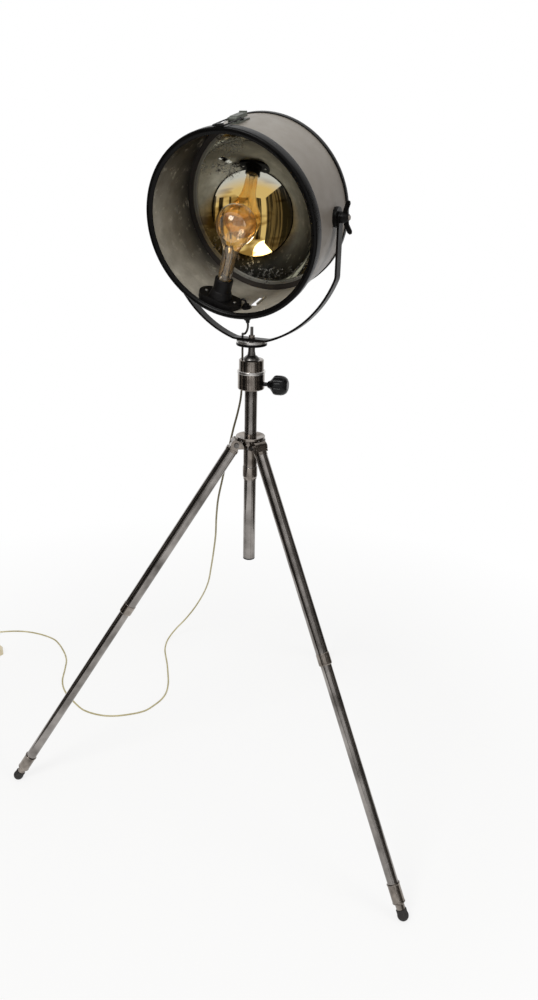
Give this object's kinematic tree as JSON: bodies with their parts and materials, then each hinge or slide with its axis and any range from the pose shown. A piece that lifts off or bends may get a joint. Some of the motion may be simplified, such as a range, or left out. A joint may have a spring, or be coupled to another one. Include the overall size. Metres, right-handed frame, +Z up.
{
  "type": "tripod spotlight floor lamp",
  "caption": "Floor lamp: a round spotlight drum with a mirror and a bare bulb, held by a flat-bar yoke and a ball head on a folding, telescoping chrome tripod with a centre column.",
  "frame": {"origin": "point on the floor under the middle of the lamp's outline without its cable; the centre column stands 111 mm to the right of it and 23 mm towards the viewer", "axes": "+Z up along the column, +X to the viewer's right, +Y away from the viewer of the picture"},
  "size_m": [1.1192, 1.0447, 1.4183],
  "materials": {
    "chrome": "polished",
    "steel": "satin",
    "aluminium": "satin",
    "black_plastic": "satin",
    "black_rubber": "matt",
    "black_paint": "worn satin",
    "drum_paint": "worn satin",
    "latch_paint": "worn satin",
    "mirror": "spotted silvering",
    "brass": "satin",
    "glass": "clear, slightly amber",
    "cap_metal": "satin",
    "filament": "glass stem with wire",
    "cable": "matt",
    "plug": "satin"
  },
  "bodies": {
    "shoulder": {"shoulder_hub": "chrome", "leg_brackets": "chrome", "hinge_bolts": "steel", "hub_screws": "steel", "clamp_collet": "chrome", "cord_hang": "cable", "cord_floor": "cable", "plug": "plug"},
    "lock_nut": {"column_nut": "chrome"},
    "column": {"column_tube": "chrome", "column_plugs": "black_plastic", "head_lower_housing": "chrome", "head_collar": "aluminium", "head_upper_housing": "chrome"},
    "knob": {"lock_knob": "black_plastic"},
    "head_pan": {"ball_cup": "steel"},
    "ball": {"ball_stem": "steel", "platform_disc": "black_paint", "platform_pad": "aluminium", "yoke_stud": "steel", "yoke_nut": "steel"},
    "yoke": {"yoke": "black_paint"},
    "drum": {"drum_shell": "drum_paint", "rear_cover": "black_paint", "mirror": "mirror", "mirror_ring": "black_paint", "front_ring": "black_paint", "pivot_studs": "steel", "pivot_spacers": "black_paint", "latch_base": "latch_paint", "lampholder": "black_plastic", "holder_contacts": "brass", "drum_screws": "steel", "bulb_glass": "glass", "bulb_cap": "cap_metal", "bulb_filament": "filament", "cable_gland": "black_plastic", "inner_leads": "cable"},
    "wing_right": {"wing_nut_right": "black_paint"},
    "wing_left": {"wing_nut_left": "black_paint"},
    "latch_lever": {"latch_lever": "latch_paint"},
    "latch_bail": {"latch_bail": "black_paint"},
    "leg_right": {"leg_head_right": "chrome", "leg_upper_right": "chrome"},
    "collar_right": {"leg_collar_right": "chrome"},
    "lower_right": {"leg_lower_right": "chrome", "foot_ferrule_right": "chrome", "foot_tip_right": "black_rubber"},
    "leg_left": {"leg_head_left": "chrome", "leg_upper_left": "chrome"},
    "collar_left": {"leg_collar_left": "chrome"},
    "lower_left": {"leg_lower_left": "chrome", "foot_ferrule_left": "chrome", "foot_tip_left": "black_rubber"},
    "leg_rear": {"leg_head_rear": "chrome", "leg_upper_rear": "chrome"},
    "collar_rear": {"leg_collar_rear": "chrome"},
    "lower_rear": {"leg_lower_rear": "chrome", "foot_ferrule_rear": "chrome", "foot_tip_rear": "black_rubber"}
  },
  "joints": [
    {"name": "leg_fold_right", "type": "hinge", "parent": "shoulder", "child": "leg_right", "pos_m": [0.12797, -0.04672, 0.807], "axis": [0.8192, 0.5736, 0], "range_deg": [0, 32]},
    {"name": "leg_slide_right", "type": "slide", "parent": "leg_right", "child": "lower_right", "axis": [-0.3039, 0.4341, 0.848], "range_m": [0, 0.3]},
    {"name": "collar_turn_right", "type": "hinge", "parent": "leg_right", "child": "collar_right", "pos_m": [0.12797, -0.04672, 0.807], "axis": [-0.3039, 0.4341, 0.848], "range_deg": [0, 120]},
    {"name": "leg_fold_left", "type": "hinge", "parent": "shoulder", "child": "leg_left", "pos_m": [0.08245, -0.02549, 0.807], "axis": [0.0872, -0.9962, 0], "range_deg": [0, 32]},
    {"name": "leg_slide_left", "type": "slide", "parent": "leg_left", "child": "lower_left", "axis": [0.5279, 0.0462, 0.848], "range_m": [0, 0.3]},
    {"name": "collar_turn_left", "type": "hinge", "parent": "leg_left", "child": "collar_left", "pos_m": [0.08245, -0.02549, 0.807], "axis": [0.5279, 0.0462, 0.848], "range_deg": [0, 120]},
    {"name": "leg_fold_rear", "type": "hinge", "parent": "shoulder", "child": "leg_rear", "pos_m": [0.12359, 0.00332, 0.807], "axis": [-0.9063, 0.4226, 0], "range_deg": [0, 32]},
    {"name": "leg_slide_rear", "type": "slide", "parent": "leg_rear", "child": "lower_rear", "axis": [-0.224, -0.4803, 0.848], "range_m": [0, 0.3]},
    {"name": "collar_turn_rear", "type": "hinge", "parent": "leg_rear", "child": "collar_rear", "pos_m": [0.12359, 0.00332, 0.807], "axis": [-0.224, -0.4803, 0.848], "range_deg": [0, 120]},
    {"name": "lock_nut_turn", "type": "hinge", "parent": "shoulder", "child": "lock_nut", "pos_m": [0.11134, -0.02296, 0.745], "axis": [0, 0, 1], "range_deg": [0, 180]},
    {"name": "column_slide", "type": "slide", "parent": "shoulder", "child": "column", "axis": [0, 0, 1], "range_m": [-0.09, 0.15], "deforming": ["cord_hang"]},
    {"name": "knob_turn", "type": "hinge", "parent": "column", "child": "knob", "pos_m": [0.11134, -0.02296, 0.9309], "axis": [0.9659, -0.2588, 0], "range_deg": [0, 270]},
    {"name": "ball_pan", "type": "hinge", "parent": "column", "child": "head_pan", "pos_m": [0.11134, -0.02296, 0.9705], "axis": [0, 0, 1], "range_deg": [-170, 170], "deforming": ["cord_hang"]},
    {"name": "ball_tilt", "type": "hinge", "parent": "head_pan", "child": "ball", "pos_m": [0.11134, -0.02296, 0.9705], "axis": [0.9048, -0.4258, 0], "range_deg": [-20, 20], "deforming": ["cord_hang"]},
    {"name": "yoke_swivel", "type": "hinge", "parent": "ball", "child": "yoke", "pos_m": [0.11134, -0.02296, 1.0156], "axis": [0, 0, 1], "range_deg": [-90, 90], "deforming": ["cord_hang"]},
    {"name": "drum_tilt", "type": "hinge", "parent": "yoke", "child": "drum", "pos_m": [0.11134, -0.02296, 1.24655], "axis": [0.9048, -0.4258, 0], "range_deg": [-60, 40], "deforming": ["cord_hang"]},
    {"name": "wing_turn_right", "type": "hinge", "parent": "drum", "child": "wing_right", "pos_m": [0.11134, -0.02296, 1.24655], "axis": [0.9048, -0.4258, 0], "range_deg": [0, 270]},
    {"name": "wing_turn_left", "type": "hinge", "parent": "drum", "child": "wing_left", "pos_m": [0.11134, -0.02296, 1.24655], "axis": [-0.9048, 0.4258, 0], "range_deg": [0, 270]},
    {"name": "latch_open", "type": "hinge", "parent": "drum", "child": "latch_lever", "pos_m": [0.07631, -0.09739, 1.39851], "axis": [0.9048, -0.4258, 0], "range_deg": [0, 100]},
    {"name": "bail_turn", "type": "hinge", "parent": "latch_lever", "child": "latch_bail", "pos_m": [0.08047, -0.08855, 1.40064], "axis": [0.9048, -0.4258, 0], "range_deg": [-100, 0]}
  ],
  "couplings": [
    {"joint": "bail_turn", "follows": "latch_open", "ratio": -1}
  ]
}
